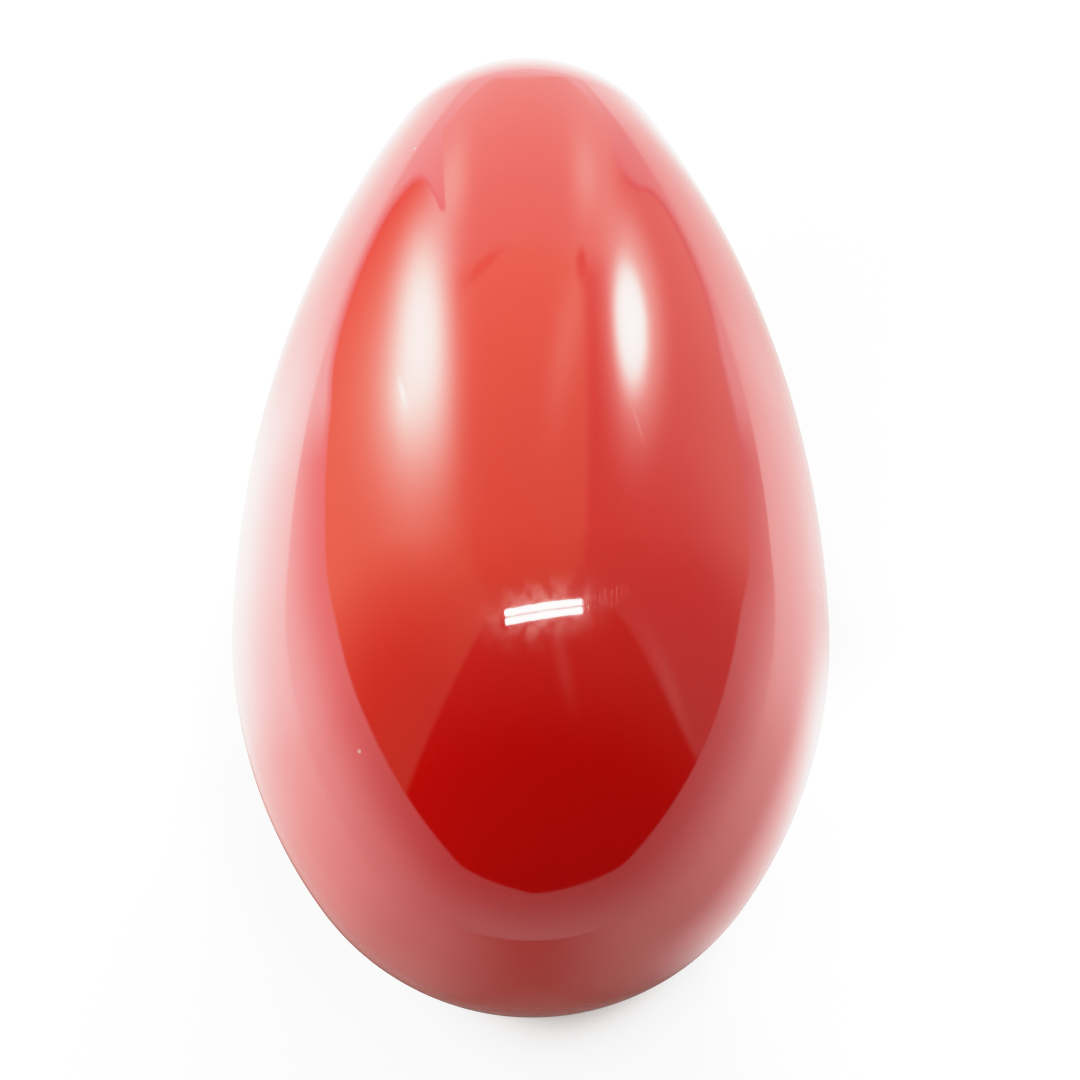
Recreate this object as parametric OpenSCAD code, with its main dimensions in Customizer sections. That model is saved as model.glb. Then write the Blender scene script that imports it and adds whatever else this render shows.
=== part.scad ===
// Egg shaker: a hollow egg in two moulded halves, cemented together round its widest belt, with loose
// steel balls inside. The egg lies on its side: its long axis runs along Y, the blunt end points to -Y
// and the pointed end to +Y. The origin is under the middle of its length, on the surface it lies on.

/* [Egg outline] */
// Diameter of the egg at its widest belt
egg_d = 42; // [41:0.5:43]
// Length of the egg from end to end
egg_l = 72; // [70:0.5:74]
// Distance from the blunt end to the widest belt
belt_s = 27; // [26:0.5:28]
// Radius of the round at the blunt end
blunt_r = 18; // [17.4:0.1:18.6]
// Radius of the round at the pointed end
nose_r = 12; // [11.4:0.1:12.6]

/* [Shell halves] */
// Wall thickness of both halves
wall_t = 2.2; // [2.1:0.1:2.6]
// Thickness of the spigot on the blunt half
spigot_t = 1.05; // [0.9:0.05:1.2]
// Length of the spigot, past the face where the halves meet
spigot_l = 3; // [2.6:0.1:4]
// Clearance between the spigot and the socket, on the radius and at the end
lap_gap = 0.1; // [0.05:0.01:0.15]
// Width of the ring of cement, along the egg
cement_w = 1.2; // [0.8:0.1:1.6]
// Depth of the cement groove in the spigot
groove_d = 0.5; // [0.3:0.05:0.6]

/* [Shot] */
// Diameter of one ball
ball_d = 4; // [4:0.1:5]
// Space between two balls that lie side by side
ball_gap = 0.3; // [0.3:0.05:0.5]
// Space between a ball and the wall
rest_gap = 0.15; // [0.1:0.05:0.3]
// Height of the highest ball over the lowest, which sets how many balls there are
layer_h = 6.25; // [2:0.25:6.25]

/* [Hidden] */
$fn = 180;
BALL_FN = 48;
belt_r = egg_d / 2;

// The outline is four arcs that run into each other: the blunt round, two flanks that both start at the
// belt, and the nose round. A flank's radius follows from the round that it has to touch.
function flank_radius(reach, end_r) = (pow(reach - end_r, 2) + pow(belt_r, 2) - pow(end_r, 2))
    / (2 * (belt_r - end_r));
nose_reach = egg_l - belt_s;
nose_flank_r = flank_radius(nose_reach, nose_r);
blunt_flank_r = flank_radius(belt_s, blunt_r);
// Angle over the belt's plane at which each flank runs into its round
nose_turn = atan2(nose_reach - nose_r, nose_flank_r - belt_r);
blunt_turn = atan2(belt_s - blunt_r, blunt_flank_r - belt_r);

spigot_r = belt_r - wall_t + spigot_t;
socket_r = spigot_r + lap_gap;
groove_s = belt_s + (spigot_l - cement_w) / 2;

// Half the chord that the outline, moved inwards by inset, has at a distance s from the blunt end
function arc_chord(r, d) = sqrt(max(0, pow(r, 2) - pow(d, 2)));
function side_radius(d, flank_r, turn, reach, end_r, inset) =
    d <= (flank_r - inset) * sin(turn)
        ? arc_chord(flank_r - inset, d) - (flank_r - belt_r)
        : arc_chord(end_r - inset, d - (reach - end_r));
function inset_radius(s, inset) = s >= belt_s
    ? side_radius(s - belt_s, nose_flank_r, nose_turn, nose_reach, nose_r, inset)
    : side_radius(belt_s - s, blunt_flank_r, blunt_turn, belt_s, blunt_r, inset);

// The balls lie one deep on the wall, in rows across the egg. A row has a ball at the bottom and others
// on both sides of it, up to the height of the layer.
ball_pitch = ball_d + ball_gap;
centre_inset = wall_t + rest_gap + ball_d / 2;
lowest = inset_radius(belt_s, centre_inset);
function row_radius(row) = inset_radius(belt_s + row * ball_pitch, centre_inset);
function ball_depth(row, place) = arc_chord(row_radius(row), place * ball_pitch);
function in_layer(row, place) = ball_depth(row, place) >= lowest - layer_h;
first_row = -floor(belt_s / ball_pitch);
last_row = floor(nose_reach / ball_pitch);
most_places = floor(belt_r / ball_pitch);
// Each ball is [row, place]: row 0 is at the belt, and place 0 is the row's lowest ball
BALLS = [
    for (row = [first_row : last_row])
        for (place = [-most_places : most_places])
            if (in_layer(row, place)) [row, place]
];
// Rows are numbered from 1 at the blunt end, and the balls of a row from 1 at its -X end
row_base = BALLS[0][0] - 1;
function row_half(row) = max([for (b = BALLS) if (b[0] == row) b[1]]);
function ball_name(b) = str("ball_row", b[0] - row_base, "_", b[1] + row_half(b[0]) + 1);

// Lays down a shape that was made upright, with the egg's axis along Z and its blunt end at the origin
module lay_down() {
    translate([0, -egg_l / 2, belt_r]) rotate([-90, 0, 0]) children();
}

// One end of the outline, moved inwards by inset, as a flat shape with the belt at y = 0 and the end up.
// The flank's circle gives the side, and over the height where they touch the round's circle takes over.
module end_outline(reach, flank_r, turn, end_r, inset) {
    intersection() {
        square([egg_d, 2 * reach]);
        translate([belt_r - flank_r, 0]) circle(flank_r - inset);
        union() {
            square([egg_d, (flank_r - inset) * sin(turn)]);
            translate([0, reach - end_r]) circle(end_r - inset);
        }
    }
}

module pointed_wall() {
    translate([0, belt_s]) difference() {
        end_outline(nose_reach, nose_flank_r, nose_turn, nose_r, 0);
        end_outline(nose_reach, nose_flank_r, nose_turn, nose_r, wall_t);
    }
}

module blunt_wall() {
    translate([0, belt_s]) mirror([0, 1]) difference() {
        end_outline(belt_s, blunt_flank_r, blunt_turn, blunt_r, 0);
        end_outline(belt_s, blunt_flank_r, blunt_turn, blunt_r, wall_t);
    }
}

// The spigot's bore carries on the inside of the pointed half, so no step stops the balls
module spigot() {
    difference() {
        translate([0, belt_s]) square([spigot_r, spigot_l]);
        translate([belt_r - nose_flank_r, belt_s]) circle(nose_flank_r - wall_t);
        translate([spigot_r - groove_d, groove_s]) square([groove_d + lap_gap, cement_w]);
    }
}

module blunt_shell() {
    color("crimson") lay_down() rotate_extrude() {
        blunt_wall();
        spigot();
    }
}

module pointed_shell() {
    color("crimson") lay_down() rotate_extrude() difference() {
        pointed_wall();
        translate([0, belt_s]) square([socket_r, spigot_l + lap_gap]);
    }
}

module cement_bead() {
    color("wheat") lay_down() rotate_extrude()
        translate([spigot_r - groove_d, groove_s]) square([groove_d + lap_gap, cement_w]);
}

module ball(b) {
    color("silver")
        translate([
            b[1] * ball_pitch,
            belt_s + b[0] * ball_pitch - egg_l / 2,
            belt_r - ball_depth(b[0], b[1])
        ])
        sphere(d = ball_d, $fn = BALL_FN);
}

blunt_shell();
pointed_shell();
cement_bead();
for (b = BALLS) ball(b);
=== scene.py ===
import functools
import math

import bmesh
import bpy
from mathutils import Matrix, Vector


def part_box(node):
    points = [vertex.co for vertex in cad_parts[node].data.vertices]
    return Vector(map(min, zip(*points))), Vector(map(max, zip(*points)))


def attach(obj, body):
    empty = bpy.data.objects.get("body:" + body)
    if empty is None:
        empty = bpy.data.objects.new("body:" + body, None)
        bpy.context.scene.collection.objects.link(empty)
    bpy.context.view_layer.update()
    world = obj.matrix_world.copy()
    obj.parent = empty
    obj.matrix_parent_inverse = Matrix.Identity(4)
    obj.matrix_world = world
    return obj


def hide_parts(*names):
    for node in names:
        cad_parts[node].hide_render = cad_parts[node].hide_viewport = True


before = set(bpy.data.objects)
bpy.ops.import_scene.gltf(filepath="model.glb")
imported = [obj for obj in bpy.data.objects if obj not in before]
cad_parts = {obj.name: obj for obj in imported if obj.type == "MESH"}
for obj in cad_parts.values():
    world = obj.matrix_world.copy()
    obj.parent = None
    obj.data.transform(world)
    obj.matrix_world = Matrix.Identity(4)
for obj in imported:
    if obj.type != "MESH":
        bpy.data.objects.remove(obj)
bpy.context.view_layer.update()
scene = bpy.context.scene
mm = 0.001
print("frame loaded with", len(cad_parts), "nodes")

# the egg's own places, taken from the frame
bluntLow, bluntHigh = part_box("blunt_shell")
pointedLow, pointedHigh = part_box("pointed_shell")
beltRadius = (pointedHigh.x - pointedLow.x) / 2
axisHeight = (pointedHigh.z + pointedLow.z) / 2
beltY = pointedLow.y
noseY = pointedHigh.y
tailY = bluntLow.y


# node tree helpers: a value may be a number, a colour or another node's socket

def setSocket(tree, socket, value):
    if isinstance(value, bpy.types.NodeSocket):
        tree.links.new(value, socket)
    else:
        socket.default_value = value


def addNode(tree, kind, values, **settings):
    node = tree.nodes.new("ShaderNode" + kind)
    node.location = (180 * len(tree.nodes), 0)
    for name, setting in settings.items():
        setattr(node, name, setting)
    for key, value in values.items():
        setSocket(tree, node.inputs[key], value)
    return node


def calc(tree, operation, *values):
    return addNode(tree, "Math", dict(enumerate(values)), operation=operation).outputs[0]


def product(tree, values):
    return functools.reduce(lambda first, second: calc(tree, "MULTIPLY", first, second), values)


def dot(tree, first, second):
    return addNode(tree, "VectorMath", {0: first, 1: second}, operation="DOT_PRODUCT").outputs["Value"]


def softStep(tree, value, low, high, toLow=0.0, toHigh=1.0):
    values = {"Value": value, "From Min": low, "From Max": high, "To Min": toLow, "To Max": toHigh}
    return addNode(tree, "MapRange", values, interpolation_type="SMOOTHSTEP").outputs["Result"]


def mixColour(tree, amount, first, second, blend="MIX"):
    return addNode(tree, "Mix", {0: amount, 6: first, 7: second}, data_type="RGBA", blend_type=blend).outputs[2]


def mixFloat(tree, amount, first, second):
    return addNode(tree, "Mix", {0: amount, 2: first, 3: second}, data_type="FLOAT").outputs[0]


def curve(tree, value, points):
    node = addNode(tree, "FloatCurve", {"Value": value})
    line = node.mapping.curves[0]
    line.points[0].location, line.points[-1].location = points[0], points[-1]
    for point in points[1:-1]:
        line.points.new(*point)
    node.mapping.update()
    return node.outputs["Value"]


def noise(tree, place, scale, detail, roughness=0.5):
    values = {"Vector": place, "Scale": scale, "Detail": detail, "Roughness": roughness}
    return addNode(tree, "TexNoise", values).outputs["Fac"]


def newGroup(name, inputs, outputs):
    group = bpy.data.node_groups.new(name, "ShaderNodeTree")
    for direction, sockets in (("INPUT", inputs), ("OUTPUT", outputs)):
        for label, kind in sockets.items():
            group.interface.new_socket(label, in_out=direction, socket_type="NodeSocket" + kind)
    return group, group.nodes.new("NodeGroupInput").outputs, group.nodes.new("NodeGroupOutput").inputs


def newMaterial(name):
    material = bpy.data.materials.new(name)
    material.use_nodes = True
    tree = material.node_tree
    place = addNode(tree, "TexCoord", {}).outputs["Object"]
    return material, tree, tree.nodes["Principled BSDF"], place


# effects shared by the materials

def makeSpecks():
    sockets = {"Place": "Vector", "Spacing": "Float", "Size": "Float", "Share": "Float"}
    group, given, result = newGroup("specks", sockets, {"Mask": "Float"})
    scale = calc(group, "DIVIDE", 1.0, given["Spacing"])
    cells = addNode(group, "TexVoronoi", {"Vector": given["Place"], "Scale": scale}, feature="F1")
    chance = addNode(group, "SeparateColor", {"Color": cells.outputs["Color"]}).outputs
    reach = calc(group, "MULTIPLY", calc(group, "DIVIDE", given["Size"], given["Spacing"]), chance[1])
    near = softStep(group, calc(group, "SUBTRACT", cells.outputs["Distance"], reach), 0.0, -0.01)
    kept = calc(group, "LESS_THAN", chance[0], given["Share"])
    setSocket(group, result["Mask"], calc(group, "MULTIPLY", near, kept))
    return group


def makeScratches():
    sockets = {"Place": "Vector", "Turn": "Vector", "Length": "Float", "Share": "Float"}
    group, given, result = newGroup("scratches", sockets, {"Mask": "Float"})
    stretch = {"Vector": given["Place"], "Rotation": given["Turn"], "Scale": (40.0, 1.0, 1.0)}
    turned = addNode(group, "Mapping", stretch).outputs[0]
    grain = noise(group, turned, calc(group, "DIVIDE", 1.0, given["Length"]), 1.0)
    line = calc(group, "ABSOLUTE", calc(group, "SUBTRACT", grain, 0.5))
    patch = noise(group, given["Place"], 160.0, 2.0)
    thin = softStep(group, line, 0.006, 0.0)
    lowest = calc(group, "SUBTRACT", 0.75, calc(group, "MULTIPLY", given["Share"], 0.3))
    here = softStep(group, patch, lowest, 0.75)
    setSocket(group, result["Mask"], calc(group, "MULTIPLY", thin, here))
    return group


specks = makeSpecks()
scratches = makeScratches()


def useGroup(tree, group, values):
    return addNode(tree, "Group", values, node_tree=group).outputs


def speckMask(tree, place, spacing, size, share):
    return useGroup(tree, specks, {"Place": place, "Spacing": spacing, "Size": size, "Share": share})["Mask"]


def scratchMask(tree, place, turn, length, share):
    return useGroup(tree, scratches, {"Place": place, "Turn": turn, "Length": length, "Share": share})["Mask"]


# high gloss red of both halves
redGloss = {
    "red": (0.575, 0.0024, 0.0017, 1), "deepRed": (0.49, 0.0017, 0.0013, 1), "cloudScale": 55.0,
    "reflection": 1.0,       # twice the plain plastic's, as lacquer over plastic has
    "polish": 0.035, "smudge": 0.075, "smudgeScale": 85.0,
    "dust": (0.62, 0.40, 0.38, 1), "dustSpacing": 2.7 * mm, "dustSize": 0.17 * mm,
    "pitSpacing": 6.3 * mm, "pitSize": 0.3 * mm,
    "markShare": 0.12,       # how many of the places for dust and pits have any
    "scratchTurn": (0.3, 0.2, 0.5), "scratchLength": 14 * mm, "scratchShare": 0.5,
    "peelSize": 0.8 * mm, "peelDepth": 0.0006 * mm, "wearDepth": 0.02 * mm,
}


def makeRedGloss():
    material, tree, shader, place = newMaterial("redGloss")
    cloud = noise(tree, place, redGloss["cloudScale"], 3.0)
    colour = mixColour(tree, cloud, redGloss["red"], redGloss["deepRed"])
    dust = speckMask(tree, place, redGloss["dustSpacing"], redGloss["dustSize"], redGloss["markShare"])
    pits = speckMask(tree, place, redGloss["pitSpacing"], redGloss["pitSize"], redGloss["markShare"])
    lines = scratchMask(tree, place, redGloss["scratchTurn"], redGloss["scratchLength"], redGloss["scratchShare"])
    colour = mixColour(tree, calc(tree, "MULTIPLY", dust, 0.75), colour, redGloss["dust"])
    setSocket(tree, shader.inputs["Base Color"], colour)

    hands = noise(tree, place, redGloss["smudgeScale"], 4.0, 0.6)
    rough = softStep(tree, hands, 0.5, 0.8, redGloss["polish"], redGloss["smudge"])
    rough = calc(tree, "ADD", rough, calc(tree, "MULTIPLY", dust, 0.5))
    rough = calc(tree, "ADD", rough, calc(tree, "MULTIPLY", lines, 0.12))
    setSocket(tree, shader.inputs["Roughness"], rough)

    # the lacquer's faint peel, with dust that stands up and pits and scratches that go in
    peel = noise(tree, place, 1 / redGloss["peelSize"], 1.0)
    peelBump = addNode(tree, "Bump", {"Height": peel, "Distance": redGloss["peelDepth"], "Strength": 1.0}).outputs[0]
    hollows = calc(tree, "ADD", pits, calc(tree, "MULTIPLY", lines, 0.1))
    wear = calc(tree, "SUBTRACT", calc(tree, "MULTIPLY", dust, 0.6), hollows)
    bump = {"Height": wear, "Distance": redGloss["wearDepth"], "Strength": 1.0, "Normal": peelBump}
    setSocket(tree, shader.inputs["Normal"], addNode(tree, "Bump", bump).outputs[0])
    shader.inputs["IOR"].default_value = 1.5
    shader.inputs["Specular IOR Level"].default_value = redGloss["reflection"]
    return material


# set cement in the groove of the lap joint
cement = {
    "pale": (0.74, 0.58, 0.44, 1), "dark": (0.50, 0.36, 0.25, 1), "mottleScale": 420.0,
    "smooth": 0.45, "rough": 0.7, "depth": 0.06 * mm,
    "bubbleSpacing": 1.2 * mm, "bubbleSize": 0.25 * mm, "bubbleShare": 0.5,
}


def makeCement():
    material, tree, shader, place = newMaterial("setCement")
    mottle = noise(tree, place, cement["mottleScale"], 5.0)
    bubblesAndShade = speckMask(tree, place, cement["bubbleSpacing"], cement["bubbleSize"], cement["bubbleShare"])
    colour = mixColour(tree, softStep(tree, mottle, 0.3, 0.7), cement["pale"], cement["dark"])
    # the bubbles are painted dark too, as painted shade in their hollows; the bump sinks them in
    colour = mixColour(tree, calc(tree, "MULTIPLY", bubblesAndShade, 0.6), colour, cement["dark"])
    setSocket(tree, shader.inputs["Base Color"], colour)
    setSocket(tree, shader.inputs["Roughness"], softStep(tree, mottle, 0.2, 0.8, cement["smooth"], cement["rough"]))
    height = calc(tree, "SUBTRACT", calc(tree, "MULTIPLY", mottle, 0.5), bubblesAndShade)
    bump = addNode(tree, "Bump", {"Height": height, "Distance": cement["depth"], "Strength": 0.8})
    setSocket(tree, shader.inputs["Normal"], bump.outputs[0])
    return material


# rolled steel shot, rubbed by its neighbours
steel = {
    "bright": (0.62, 0.62, 0.61, 1), "dull": (0.36, 0.36, 0.37, 1), "patchScale": 900.0,
    "polish": 0.16, "rubbed": 0.42, "depth": 0.01 * mm,
    "scratchTurn": (0.9, 0.3, 0.1), "scratchLength": 5 * mm, "scratchShare": 1.0,
    "dentSpacing": 0.7 * mm, "dentSize": 0.14 * mm, "dentShare": 0.35,
}


def makeSteel():
    material, tree, shader, place = newMaterial("shotSteel")
    patches = noise(tree, place, steel["patchScale"], 4.0)
    lines = scratchMask(tree, place, steel["scratchTurn"], steel["scratchLength"], steel["scratchShare"])
    dentsAndShade = speckMask(tree, place, steel["dentSpacing"], steel["dentSize"], steel["dentShare"])
    colour = mixColour(tree, softStep(tree, patches, 0.42, 0.62), steel["bright"], steel["dull"])
    # the dents are painted in the dull colour too, as painted shade in their hollows; the bump sinks them in
    setSocket(tree, shader.inputs["Base Color"], mixColour(tree, dentsAndShade, colour, steel["dull"]))
    rough = softStep(tree, patches, 0.4, 0.65, steel["polish"], steel["rubbed"])
    setSocket(tree, shader.inputs["Roughness"], calc(tree, "ADD", rough, calc(tree, "MULTIPLY", lines, 0.2)))
    height = calc(tree, "MULTIPLY", calc(tree, "ADD", dentsAndShade, calc(tree, "MULTIPLY", lines, 0.3)), -1.0)
    bump = addNode(tree, "Bump", {"Height": height, "Distance": steel["depth"], "Strength": 0.7})
    setSocket(tree, shader.inputs["Normal"], bump.outputs[0])
    shader.inputs["Metallic"].default_value = 1.0
    return material


materials = {"red_gloss": makeRedGloss(), "cement": makeCement(), "shot_steel": makeSteel()}
print("materials made:", ", ".join(sorted(materials)))


# the two halves: each profile is drawn in arcs from the outer pole round to the inner one, then spun
shells = {
    "noseFlank": 77 * mm, "noseRound": 12 * mm, "noseTurn": math.asin(33 / 65),
    "tailFlank": 33 * mm, "tailRound": 18 * mm, "tailTurn": math.asin(3 / 5),
    "wall": 2.2 * mm,
    "spigotRadius": 19.85 * mm, "spigotLength": 3.0 * mm,
    "socketRadius": 19.95 * mm, "socketDepth": 3.1 * mm,
    "grooveRadius": 19.35 * mm, "grooveStart": 0.9 * mm, "grooveEnd": 2.1 * mm,
    "hiddenBevel": 0.06 * mm, "hiddenAngle": math.radians(40), "hiddenUnder": 0.5 * mm,
    "sharpAngle": math.radians(50), "mergeWithin": 0.0003 * mm,
    "stepAngle": math.radians(0.5), "innerStepAngle": math.radians(1.0), "rimBand": 0.05 * mm,
    "around": 256,
}


def newest(swept):
    return [e for e in swept["geom_last"] if isinstance(e, bmesh.types.BMVert)][0]


def arcTo(bm, last, centre, turn, stepAngle):
    steps = max(1, round(abs(turn) / stepAngle))
    return newest(bmesh.ops.spin(
        bm, geom=[last], cent=(centre[0], centre[1], axisHeight), axis=(0, 0, 1), angle=turn, steps=steps))


def lineTo(bm, last, radius, y):
    corner = bm.verts.new((radius, y, axisHeight))
    bm.edges.new((last, corner))
    return corner


def drawEnd(bm, last, side, inset, outwards, startAt=0.0):
    if side > 0:
        flank, tip, turn, pole = shells["noseFlank"], shells["noseRound"], shells["noseTurn"], noseY
    else:
        flank, tip, turn, pole = shells["tailFlank"], shells["tailRound"], shells["tailTurn"], tailY
    step = shells["innerStepAngle"] if inset else shells["stepAngle"]
    flankCentre = (beltRadius - flank, beltY)
    tipCentre = (0.0, pole - side * tip)
    tipTurn = math.pi / 2 - turn
    band = shells["rimBand"] / flank
    if outwards:      # pole to belt
        last = arcTo(bm, last, tipCentre, -side * tipTurn, step)
        last = arcTo(bm, last, flankCentre, -side * (turn - band), step)
        return arcTo(bm, last, flankCentre, -side * band, 1)
    last = arcTo(bm, last, flankCentre, side * (turn - startAt), step)
    return arcTo(bm, last, tipCentre, side * tipTurn, step)


def spinShell(bm, name):
    bmesh.ops.spin(bm, geom=bm.verts[:] + bm.edges[:], cent=(0, 0, axisHeight), axis=(0, 1, 0),
                   angle=2 * math.pi, steps=shells["around"], use_merge=True)
    bmesh.ops.remove_doubles(bm, verts=bm.verts[:], dist=shells["mergeWithin"])
    bmesh.ops.recalc_face_normals(bm, faces=bm.faces[:])
    outerEdge = beltRadius - shells["hiddenUnder"]
    hidden = []
    for edge in bm.edges:
        middle = (edge.verts[0].co + edge.verts[1].co) / 2
        radius = math.hypot(middle.x, middle.z - axisHeight)
        if len(edge.link_faces) == 2 and edge.calc_face_angle() > shells["hiddenAngle"] and radius < outerEdge:
            hidden.append(edge)
    bmesh.ops.bevel(bm, geom=hidden, offset=shells["hiddenBevel"], affect="EDGES", segments=2, profile=0.5,
                    material=-1)
    print(name, "has", len(bm.faces), "faces")


def finishPiece(bm, name, slotName, body, nodes):
    mesh = bpy.data.meshes.new(name)
    bm.to_mesh(mesh)
    bm.free()
    mesh.shade_smooth()
    mesh.set_sharp_from_angle(angle=shells["sharpAngle"])
    mesh.materials.append(materials[slotName])
    piece = bpy.data.objects.new(name, mesh)
    scene.collection.objects.link(piece)
    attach(piece, body)
    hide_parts(*nodes)


def makePointedShell():
    bm = bmesh.new()
    last = drawEnd(bm, bm.verts.new((0, noseY, axisHeight)), 1, 0.0, True)
    shoulderY = beltY + shells["socketDepth"]
    innerFlank = shells["noseFlank"] - shells["wall"]
    startAt = math.asin(shells["socketDepth"] / innerFlank)
    last = lineTo(bm, last, shells["socketRadius"], beltY)
    last = lineTo(bm, last, shells["socketRadius"], shoulderY)
    last = lineTo(bm, last, beltRadius - shells["noseFlank"] + innerFlank * math.cos(startAt), shoulderY)
    drawEnd(bm, last, 1, shells["wall"], False, startAt)
    spinShell(bm, "pointedShell")
    finishPiece(bm, "pointedShell", "red_gloss", "casing", ["pointed_shell"])


def makeBluntShell():
    bm = bmesh.new()
    last = drawEnd(bm, bm.verts.new((0, tailY, axisHeight)), -1, 0.0, True)
    tipY = beltY + shells["spigotLength"]
    innerFlank = shells["noseFlank"] - shells["wall"]
    tipAngle = math.asin(shells["spigotLength"] / innerFlank)
    for radius, y in (
        (shells["spigotRadius"], beltY),
        (shells["spigotRadius"], beltY + shells["grooveStart"]),
        (shells["grooveRadius"], beltY + shells["grooveStart"]),
        (shells["grooveRadius"], beltY + shells["grooveEnd"]),
        (shells["spigotRadius"], beltY + shells["grooveEnd"]),
        (shells["spigotRadius"], tipY),
        (beltRadius - shells["noseFlank"] + innerFlank * math.cos(tipAngle), tipY),
    ):
        last = lineTo(bm, last, radius, y)
    last = arcTo(bm, last, (beltRadius - shells["noseFlank"], beltY), -tipAngle, shells["innerStepAngle"])
    drawEnd(bm, last, -1, shells["wall"], False)
    spinShell(bm, "bluntShell")
    finishPiece(bm, "bluntShell", "red_gloss", "casing", ["blunt_shell"])


makePointedShell()
makeBluntShell()

# the cement and the shot stay as the frame has them, with their own finish
for name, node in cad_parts.items():
    if name.endswith("_shell"):
        continue
    finish = materials["cement" if name == "cement_bead" else "shot_steel"]
    for place in node.material_slots:
        place.material = finish
print("pieces made")


# the camera looks down on the egg from the blunt end
camera = {
    "lens": 72.8, "sensor": 36.0, "clipStart": 5 * mm,
    "aim": (0.7 * mm, -2.2 * mm, 21 * mm), "distance": 157.5 * mm, "elevation": 69.5, "roll": -0.58,
}
tilt = math.radians(camera["elevation"])
towardsCamera = Vector((0, -math.cos(tilt), math.sin(tilt)))


def makeCamera():
    data = bpy.data.cameras.new("camera")
    data.lens = camera["lens"]
    data.sensor_width = camera["sensor"]
    data.clip_start = camera["clipStart"]
    viewer = bpy.data.objects.new("camera", data)
    scene.collection.objects.link(viewer)
    viewer.location = Vector(camera["aim"]) + camera["distance"] * towardsCamera
    facingEgg = (-towardsCamera).to_track_quat("-Z", "Y").to_matrix().to_4x4()
    turn = facingEgg @ Matrix.Rotation(math.radians(camera["roll"]), 4, "Z")
    viewer.rotation_euler = turn.to_euler()
    scene.camera = viewer


makeCamera()

# the studio: a pale tent round the egg, two tall soft lights beyond it and a double tube overhead
# azimuths are in degrees from +Y towards +X, brightness is before the studio's level
studio = {
    "room": (1.3, 1.0, 0.75),
    "rim": [(-180, 13.5), (-165, 17), (-125, 21), (-95, 17), (-75, 9.5), (-57, -1), (-40, -10), (-33, -7.5), (-28, 3),
            (-25, 13), (-24, -8), (-13, -7), (0, -3), (15, -9), (22, -9), (27, 1), (33, -7), (40, -10), (52, -4.3),
            (68, -1.5), (85, 7.3), (105, 11), (150, 14.5), (180, 13.5)],
    "rimSoftness": 0.7,
    # brightness under the rim and how much of it is left right at the rim
    "tent": [(-180, 1.9), (-155, 2.0), (-135, 2.8), (-105, 5.2), (-80, 7.3), (-60, 6.9), (-33, 3.8), (0, 4.8),
             (15, 4.5), (31, 2.8), (52, 3.8), (80, 4.8), (105, 3.3), (142, 2.0), (180, 1.9)],
    "rimShare": 0.5, "rimFade": 26,
    "hemShare": 0.6, "hemFade": 4,      # beside the two windows it darkens later and faster
    "hemFrom": (24, 30), "hemTo": (62, 54), "fadeFrom": (26, 60),
    "level": 0.475,
    "seenWhite": (3.0, 3.0, 3.0, 1),    # what the camera sees straight past the egg
}
# each card: azimuth, elevation, half width and half height in degrees, edge, squareness, colour low and high on it
cards = {
    "roomLeft": (-75, 32, 48, 42, 0.75, 2.0, (3.8, 3.1, 2.0), (2.6, 1.9, 1.1)),
    "roomRight": (50, 18, 34, 42, 0.80, 2.0, (3.1, 2.9, 2.6), (1.3, 1.1, 0.9)),
    "roomBackRight": (100, 36, 30, 40, 0.60, 2.0, (0.8, 0.7, 0.65), (0.9, 0.85, 0.75)),
    "roomBackLeft": (-118, 32, 30, 38, 0.70, 2.0, (0.9, 0.6, 0.35), (1.0, 0.75, 0.5)),
    "ceiling": (-2, 55, 21, 30, 0.12, 5.0, (4.0, 3.0, 2.1), (1.9, 1.1, 0.65)),
    "farWall": (-1, 8, 27, 22, 0.12, 5.0, (4.0, 3.6, 3.4), (3.5, 3.0, 2.5)),
    "markRight": (19.5, 28.5, 1.4, 2.6, 0.6, 2.0, (1.6, 1.2, 0.9), (1.9, 1.5, 1.1)),
    "markLeft": (-17, 30, 6, 1.1, 0.7, 2.0, (2.8, 1.9, 1.4), (2.8, 1.9, 1.4)),
}
# each soft light: azimuth, elevation, turn, half width and half height in degrees, falloff, colour
softLights = {
    "windowLeft": (-37.3, 26, 13, 7.5, 16.5, 1.05, (18.5, 17.8, 17.3)),
    "windowLeftHalo": (-48, 28, 12.5, 6.5, 12, 0.63, (12.5, 12, 11.5)),
    "windowRight": (36.6, 26, -19.5, 4.9, 9.0, 1.7, (18, 18, 17.5)),
    "windowRightHalo": (37, 24, -21, 7.8, 15, 1.2, (8.4, 8.1, 7.5)),
    "ceilingEdge": (17, 42, 10, 4, 12, 1.0, (1.3, 1.2, 1.1)),
    "windowLeftStreak": (-47, 26.8, 10, 0.45, 2.6, 1.0, (7, 7, 7)),
    "windowRightDash": (47, 36, 0, 2.2, 0.35, 1.0, (2.4, 2.3, 2.2)),
    "edgeOfDark": (104, 35, 29, 2.2, 15, 1.0, (0.5, 0.42, 0.42)),
    "glowLeft": (-22.5, 9, 0, 4, 9, 1.0, (2.6, 2.4, 2.1)),
    "glowRight": (18.5, 12, 0, 4, 9, 1.0, (2.2, 2.1, 1.9)),
}
faintLights = {"streak": (138, 72, 20, 2.5, 9, 1.0, (0.55, 0.4, 0.36))}
# the near side is dark: half spaces of directions (x, y, z), limit, softness
darkSide = [((-0.12, 1, 0), -0.02, 0.02), ((-1.12, 1, 0), 0.27, 0.03), ((0.75, 1, 0), 0.40, 0.02),
            ((1.2, 1, 0), 0.68, 0.03)]
darkColours = {"near": (0.06, 0.045, 0.04, 1), "far": (0.55, 0.42, 0.32, 1)}
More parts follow.
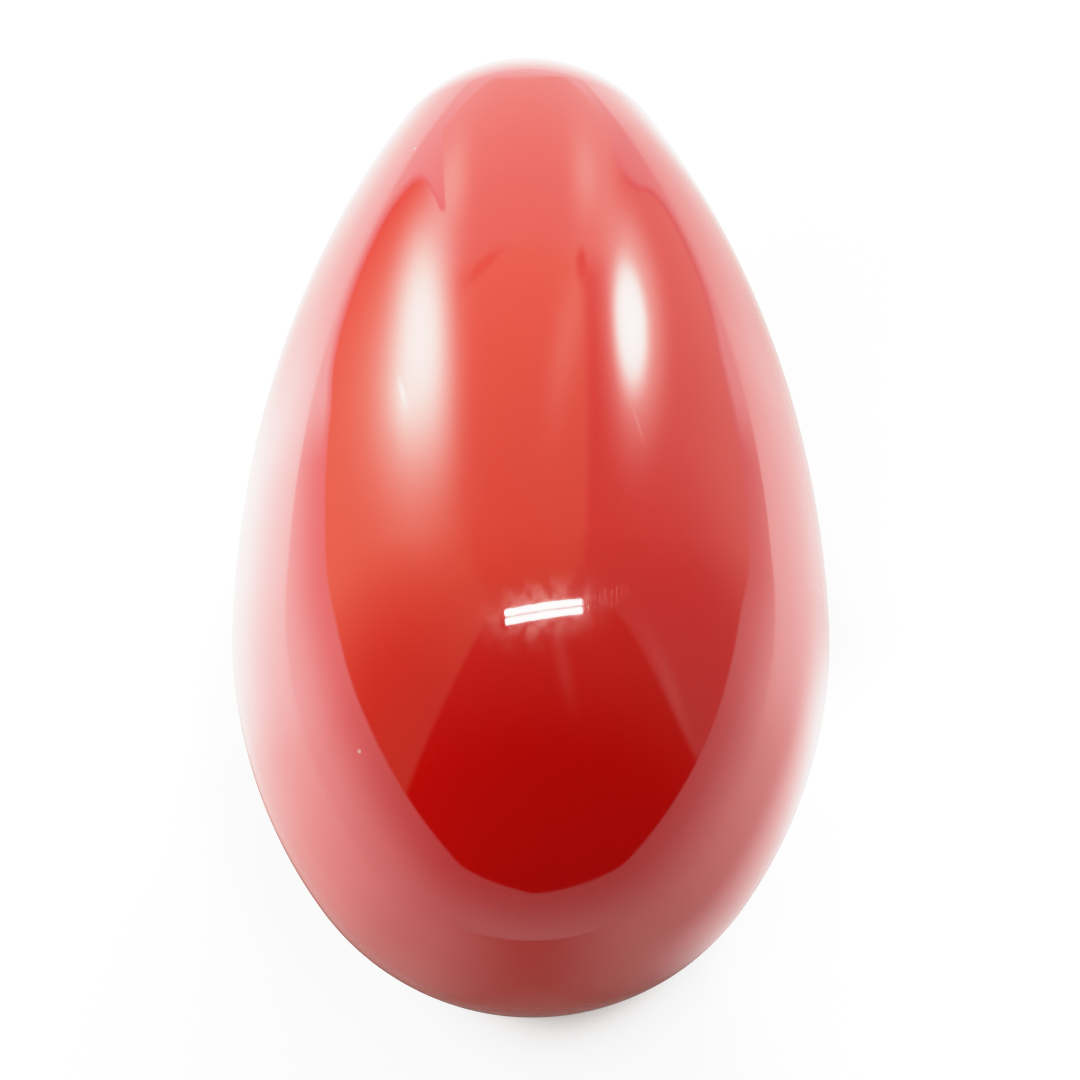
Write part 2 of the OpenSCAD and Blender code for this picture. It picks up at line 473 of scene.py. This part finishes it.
# the double tube overhead, in the plane of directions at a height of one
tube = {
    "middle": (0.09, -0.009), "turn": 6.2, "halfLength": 0.25, "halfWidth": 0.031,
    "endSoftness": 0.005, "sideSoftness": 0.003, "gap": (0.003, 0.009), "gapShare": 0.08, "glow": 60.0,
    "haze": (0.26, 0.09), "hazeColour": (4.8, 4.2, 3.7), "hazeGrain": 13.0, "hazeShares": (0.35, 1.6),
    "lowest": 0.5,           # neither is seen from below this height
}


def facing(azimuth, elevation, turn=0.0):
    a, e, t = (math.radians(v) for v in (azimuth, elevation, turn))
    centre = Vector((math.sin(a) * math.cos(e), math.cos(a) * math.cos(e), math.sin(e)))
    across = Vector((math.cos(a), -math.sin(a), 0))
    up = across.cross(centre)
    return centre, across * math.cos(t) + up * math.sin(t), up * math.cos(t) - across * math.sin(t)


def makeFlatten():
    sockets = {"Direction": "Vector", "Centre": "Vector", "Across": "Vector", "Up": "Vector",
               "Width": "Float", "Height": "Float", "Power": "Float"}
    group, given, result = newGroup("flatten", sockets, {"Reach": "Float", "Rise": "Float", "Front": "Float"})
    ahead = dot(group, given["Direction"], given["Centre"])
    depth = calc(group, "MAXIMUM", ahead, 0.02)
    sides = []
    for axis, size in (("Across", "Width"), ("Up", "Height")):
        offset = calc(group, "DIVIDE", dot(group, given["Direction"], given[axis]), depth)
        sides.append(calc(group, "DIVIDE", offset, given[size]))
    powers = [calc(group, "POWER", calc(group, "ABSOLUTE", side), given["Power"]) for side in sides]
    reach = calc(group, "POWER", calc(group, "ADD", *powers), calc(group, "DIVIDE", 1.0, given["Power"]))
    setSocket(group, result["Reach"], reach)
    setSocket(group, result["Rise"], calc(group, "MULTIPLY_ADD", sides[1], 0.5, 0.5))
    setSocket(group, result["Front"], calc(group, "GREATER_THAN", ahead, 0.02))
    return group


flatten = makeFlatten()


def cardNodes(tree, direction, azimuth, elevation, turn, width, height, power):
    centre, across, up = facing(azimuth, elevation, turn)
    return useGroup(tree, flatten, {
        "Direction": direction, "Centre": centre, "Across": across, "Up": up, "Power": power,
        "Width": math.tan(math.radians(width)), "Height": math.tan(math.radians(height))})


def byAzimuth(tree, azimuth, points, low, high):
    share = calc(tree, "MULTIPLY_ADD", azimuth, 1 / 360, 0.5)
    value = curve(tree, share, [(a / 360 + 0.5, (v - low) / (high - low)) for a, v in points])
    return calc(tree, "MULTIPLY_ADD", value, high - low, low)


def compassAngle(tree, east, north):
    return calc(tree, "DEGREES", calc(tree, "ARCTAN2", east, north))


def rgb(values):
    return (*values, 1.0)


def addLights(tree, direction, colour, lights):
    for azimuthOf, elevationOf, turn, width, height, falloff, lamp in lights.values():
        card = cardNodes(tree, direction, azimuthOf, elevationOf, turn, width, height, 2.0)
        fade = calc(tree, "POWER", card["Reach"], 2 * falloff)
        amount = calc(tree, "MULTIPLY", calc(tree, "EXPONENT", calc(tree, "MULTIPLY", fade, -1.0)), card["Front"])
        colour = mixColour(tree, amount, colour, rgb(lamp), "ADD")
    return colour


def makeWorld():
    world = bpy.data.worlds.new("studio")
    scene.world = world
    world.use_nodes = True
    tree = world.node_tree
    background = tree.nodes["Background"]
    direction = addNode(tree, "TexCoord", {}).outputs["Generated"]
    direction = addNode(tree, "VectorMath", {0: direction}, operation="NORMALIZE").outputs[0]
    parts = addNode(tree, "SeparateXYZ", {0: direction}).outputs
    azimuth = compassAngle(tree, parts["X"], parts["Y"])
    elevation = calc(tree, "DEGREES", calc(tree, "ARCSINE", parts["Z"]))

    colour = rgb(studio["room"])
    for azimuthOf, elevationOf, width, height, edge, power, low, high in cards.values():
        card = cardNodes(tree, direction, azimuthOf, elevationOf, 0, width, height, power)
        amount = calc(tree, "MULTIPLY", softStep(tree, card["Reach"], 1 + edge, 1 - edge), card["Front"])
        paint = mixColour(tree, card["Rise"], rgb(low), rgb(high))
        colour = mixColour(tree, amount, colour, paint)
    colour = addLights(tree, direction, colour, softLights)

    dark = 1.0
    for axis, limit, softness in darkSide:
        inside = softStep(tree, dot(tree, direction, axis), limit + softness, limit - softness)
        dark = calc(tree, "MULTIPLY", dark, inside)
    shade = mixColour(tree, softStep(tree, parts["Y"], -0.6, 0.0), darkColours["near"], darkColours["far"])
    colour = mixColour(tree, dark, colour, shade)
    colour = addLights(tree, direction, colour, faintLights)

    rim = byAzimuth(tree, azimuth, studio["rim"], -20, 40)
    belowRim = softStep(tree, calc(tree, "SUBTRACT", elevation, rim), studio["rimSoftness"], -studio["rimSoftness"])
    tent = byAzimuth(tree, azimuth, studio["tent"], 0, 10)
    under = calc(tree, "SUBTRACT", rim, elevation)
    sideways = calc(tree, "ABSOLUTE", azimuth)
    byWindow = calc(tree, "MULTIPLY", softStep(tree, sideways, *studio["hemFrom"]),
                    softStep(tree, sideways, *studio["hemTo"]))
    fade = softStep(tree, under, 0, studio["rimFade"], studio["rimShare"], 1.0)
    fade = mixFloat(tree, softStep(tree, sideways, *studio["fadeFrom"]), 1.0, fade)
    hem = softStep(tree, under, 0.5, studio["hemFade"], studio["hemShare"], 1.0)
    fade = mixFloat(tree, byWindow, fade, hem)
    tent = calc(tree, "MULTIPLY", tent, fade)
    pale = addNode(tree, "CombineColor", {0: tent, 1: tent, 2: tent}).outputs[0]
    colour = mixColour(tree, belowRim, colour, pale)

    # the tube with its haze
    height = calc(tree, "MAXIMUM", parts["Z"], 0.05)
    east = calc(tree, "SUBTRACT", calc(tree, "DIVIDE", parts["X"], height), tube["middle"][0])
    north = calc(tree, "SUBTRACT", calc(tree, "DIVIDE", parts["Y"], height), tube["middle"][1])
    cosTurn, sinTurn = (turned(math.radians(tube["turn"])) for turned in (math.cos, math.sin))
    along = calc(tree, "ADD", calc(tree, "MULTIPLY", east, cosTurn), calc(tree, "MULTIPLY", north, sinTurn))
    side = calc(tree, "SUBTRACT", calc(tree, "MULTIPLY", north, cosTurn), calc(tree, "MULTIPLY", east, sinTurn))
    along, side = calc(tree, "ABSOLUTE", along), calc(tree, "ABSOLUTE", side)
    overhead = calc(tree, "GREATER_THAN", parts["Z"], tube["lowest"])
    cloud = noise(tree, direction, tube["hazeGrain"], 4.0)
    spread = [calc(tree, "POWER", calc(tree, "DIVIDE", v, size), 2.0) for v, size in zip((along, side), tube["haze"])]
    haze = calc(tree, "EXPONENT", calc(tree, "MULTIPLY", calc(tree, "ADD", *spread), -1.0))
    haze = calc(tree, "MULTIPLY", haze, softStep(tree, cloud, 0.38, 0.62, *tube["hazeShares"]))
    haze = calc(tree, "MULTIPLY", haze, overhead)
    colour = mixColour(tree, haze, colour, rgb(tube["hazeColour"]), "ADD")
    lit = overhead
    for offset, edge, softness in ((along, "halfLength", "endSoftness"), (side, "halfWidth", "sideSoftness")):
        inside = softStep(tree, offset, tube[edge] + tube[softness], tube[edge] - tube[softness])
        lit = calc(tree, "MULTIPLY", lit, inside)
    lit = calc(tree, "MULTIPLY", lit, softStep(tree, side, *tube["gap"], tube["gapShare"], 1.0))
    colour = mixColour(tree, lit, colour, rgb((tube["glow"],) * 3))

    seen = addNode(tree, "LightPath", {}).outputs["Is Camera Ray"]
    colour = addNode(tree, "VectorMath", {0: colour, "Scale": studio["level"]}, operation="SCALE").outputs[0]
    setSocket(tree, background.inputs["Color"], mixColour(tree, seen, colour, studio["seenWhite"]))
    background.inputs["Strength"].default_value = 1.0


makeWorld()

# the floor is a pale round sheet with painted light: it glows a little, as painted light from the tent round it
floor = {
    "radius": 170 * mm, "middle": -20 * mm,
    "colour": (0.34, 0.34, 0.34, 1),
    "own": 0.5,              # what its own lit surface already gives
    # painted light: the share of the tent's brightness the floor glows with, by distance from the egg's belt
    "glow": [(0, 0), (24, 0.12), (28, 0.24), (31, 0.31), (38, 0.38), (50, 0.48), (85, 0.56), (200, 0.52)],
    # more painted light in front and on the right, less behind: how much, and over which distances and azimuths it
    # comes and goes
    "frontMore": 0.09, "frontReach": ((50, 80), (190, 120)), "frontAzimuth": ((66, 46), (14, 30)),
    "rightMore": 0.38, "rightReach": (68, 34), "rightAzimuth": ((75, 105), (158, 138)),
    "behindShare": 0.5, "behindAzimuth": (150, 180),
    # painted contact shadow under the egg, seen only by the camera: middle, half width and half length, and where in
    # it the fade ends and starts
    "shadow": 0.9, "shadowPlace": (1.8 * mm, -14 * mm), "shadowSize": (16.5 * mm, 24 * mm), "shadowEdge": (1.06, 0.7),
    # painted light the camera sees on the floor, near and far from the egg's belt, and over which distances it
    # changes
    "seenNear": 1.7, "seenFar": 2.6, "seenReach": (40, 120),
}


def makeFloor():
    bm = bmesh.new()
    bmesh.ops.create_circle(bm, cap_ends=True, segments=128, radius=floor["radius"])
    bmesh.ops.translate(bm, verts=bm.verts[:], vec=(0, floor["middle"], 0))
    mesh = bpy.data.meshes.new("floor")
    bm.to_mesh(mesh)
    bm.free()
    sheet = bpy.data.objects.new("floor", mesh)
    scene.collection.objects.link(sheet)
    material, tree, shader, place = newMaterial("paleSheet")
    parts = addNode(tree, "SeparateXYZ", {0: place}).outputs
    north = calc(tree, "SUBTRACT", parts["Y"], beltY)
    azimuth = compassAngle(tree, parts["X"], north)
    squares = [calc(tree, "POWER", part, 2.0) for part in (parts["X"], north)]
    reach = calc(tree, "DIVIDE", calc(tree, "SQRT", calc(tree, "ADD", *squares)), mm)
    sideways = calc(tree, "ABSOLUTE", azimuth)

    farthest = floor["glow"][-1][0]
    share = curve(tree, calc(tree, "DIVIDE", reach, farthest), [(r / farthest, v) for r, v in floor["glow"]])
    front = product(tree, [softStep(tree, reach, *limits) for limits in floor["frontReach"]]
                    + [softStep(tree, sideways, *limits) for limits in floor["frontAzimuth"]])
    right = product(tree, [softStep(tree, reach, *floor["rightReach"])]
                    + [softStep(tree, azimuth, *limits) for limits in floor["rightAzimuth"]])
    share = calc(tree, "MULTIPLY_ADD", front, floor["frontMore"], share)
    share = calc(tree, "MULTIPLY_ADD", right, floor["rightMore"], share)
    behind = softStep(tree, sideways, *floor["behindAzimuth"], 1.0, floor["behindShare"])
    share = calc(tree, "MULTIPLY", share, behind)
    tent = calc(tree, "MULTIPLY", byAzimuth(tree, azimuth, studio["tent"], 0, 10), share)
    # painted light: the floor glows with what its own lit surface doesn't already give of the tent's share
    glow = calc(tree, "MAXIMUM", calc(tree, "SUBTRACT", tent, floor["own"]), 0.0)

    # seen directly it glows over-bright with painted light, save for the painted contact shadow
    white = softStep(tree, reach, *floor["seenReach"], floor["seenNear"], floor["seenFar"])
    offsets = []
    for part, middle, size in zip((parts["X"], parts["Y"]), floor["shadowPlace"], floor["shadowSize"]):
        offset = calc(tree, "DIVIDE", calc(tree, "SUBTRACT", part, middle), size)
        offsets.append(calc(tree, "MULTIPLY", offset, offset))
    # painted contact shadow, taken off the floor's glow for the camera only
    shadow = softStep(tree, calc(tree, "SQRT", calc(tree, "ADD", *offsets)), *floor["shadowEdge"])
    unshaded = calc(tree, "MULTIPLY_ADD", shadow, -floor["shadow"], 1.0)
    white = calc(tree, "MULTIPLY", calc(tree, "ADD", white, glow), unshaded)
    seen = addNode(tree, "LightPath", {}).outputs["Is Camera Ray"]
    glow = mixFloat(tree, seen, glow, white)
    shader.inputs["Base Color"].default_value = floor["colour"]
    shader.inputs["Roughness"].default_value = 0.9
    shader.inputs["Emission Color"].default_value = (1, 1, 1, 1)
    setSocket(tree, shader.inputs["Emission Strength"], glow)
    mesh.materials.append(material)


makeFloor()

# a soft shoulder, as a camera has
shoulder = {
    "white": 3.0,
    "points": [(0.25, 0.25), (0.5, 0.5), (0.6, 0.6), (0.72, 0.71), (0.85, 0.8), (1.0, 0.86), (1.2, 0.9), (1.6, 0.935),
               (2.1, 0.965)],
}
view = scene.view_settings
view.view_transform = "Standard"
view.look = "None"
view.use_curve_mapping = True
view.curve_mapping.white_level = (shoulder["white"],) * 3
whole = view.curve_mapping.curves[3]
for amount, shown in shoulder["points"]:
    whole.points.new(amount / shoulder["white"], shown)
view.curve_mapping.update()
print("studio lit")
